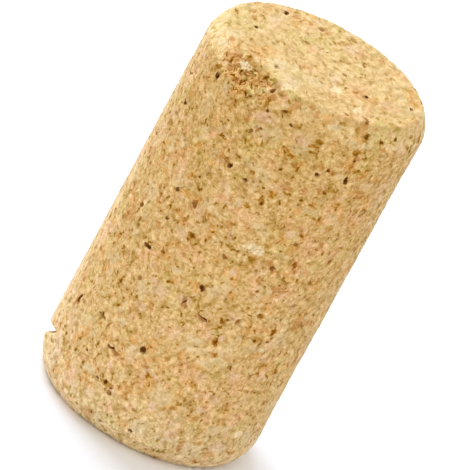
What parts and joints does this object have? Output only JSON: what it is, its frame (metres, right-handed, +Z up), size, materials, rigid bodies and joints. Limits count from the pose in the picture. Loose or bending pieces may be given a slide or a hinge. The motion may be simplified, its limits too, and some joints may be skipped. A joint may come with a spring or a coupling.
{
  "type": "cork stopper",
  "caption": "Straight cylindrical stopper pressed from fine cork granules, with bevelled ends, open pores, a crumbled stretch of rim and a chipped foot.",
  "frame": {"origin": "centre of the lower end face, on the surface that the stopper stands on", "axes": "+Z up along the stopper's own axis; the crumbled stretch of the upper rim faces -Y and -X, and the chip in the foot faces -X"},
  "size_m": [0.024, 0.024, 0.042],
  "materials": {
    "cork": "matt, bare pressed cork granules"
  },
  "bodies": {
    "root": {"stopper": "cork"}
  },
  "joints": []
}
